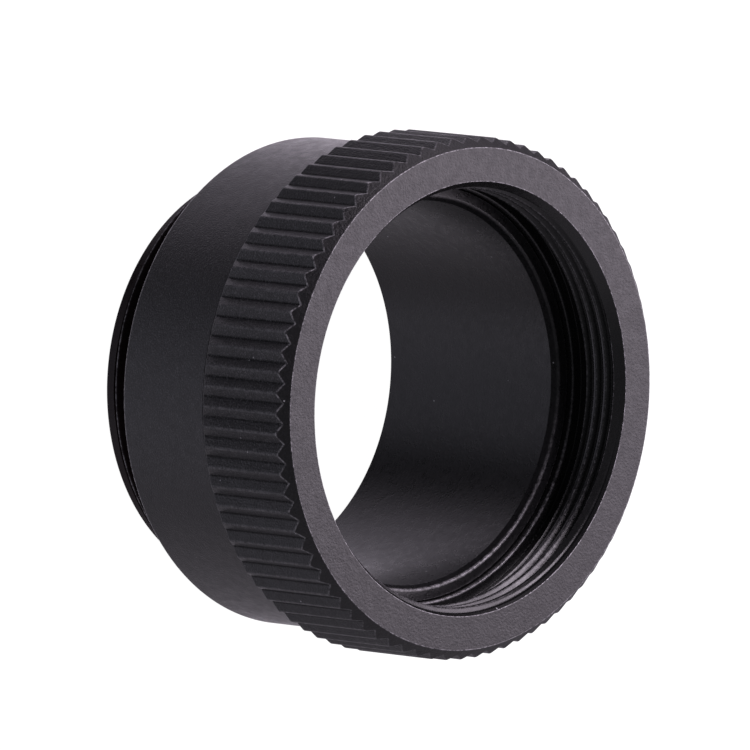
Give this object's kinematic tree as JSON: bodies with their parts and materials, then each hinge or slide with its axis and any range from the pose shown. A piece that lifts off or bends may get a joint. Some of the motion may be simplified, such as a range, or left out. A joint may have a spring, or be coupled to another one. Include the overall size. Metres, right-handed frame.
{
  "type": "threaded extension ring",
  "caption": "Black threaded extension ring with a knurled turning collar holding the female thread, a plain body and a male thread at the other end.",
  "frame": {"origin": "centre of the rim at the male-thread end, on the ring's axis", "axes": "+Z along the ring's axis, from the male thread towards the knurled collar and its female socket"},
  "size_m": [0.0306, 0.0306, 0.0183],
  "materials": {
    "blasted_anodised": "bead-blasted, black anodised",
    "bore_anodised": "smooth, black anodised",
    "satin_anodised": "satin, black anodised"
  },
  "bodies": {
    "barrel": {"threaded_barrel": "satin_anodised", "flanged_liner": "bore_anodised"},
    "collar": {"knurled_collar": "blasted_anodised"}
  },
  "joints": [
    {"name": "collar_turn", "type": "hinge", "parent": "barrel", "child": "collar", "pos_m": [0, 0, 0.0119], "axis": [0, 0, 1], "continuous": true}
  ]
}
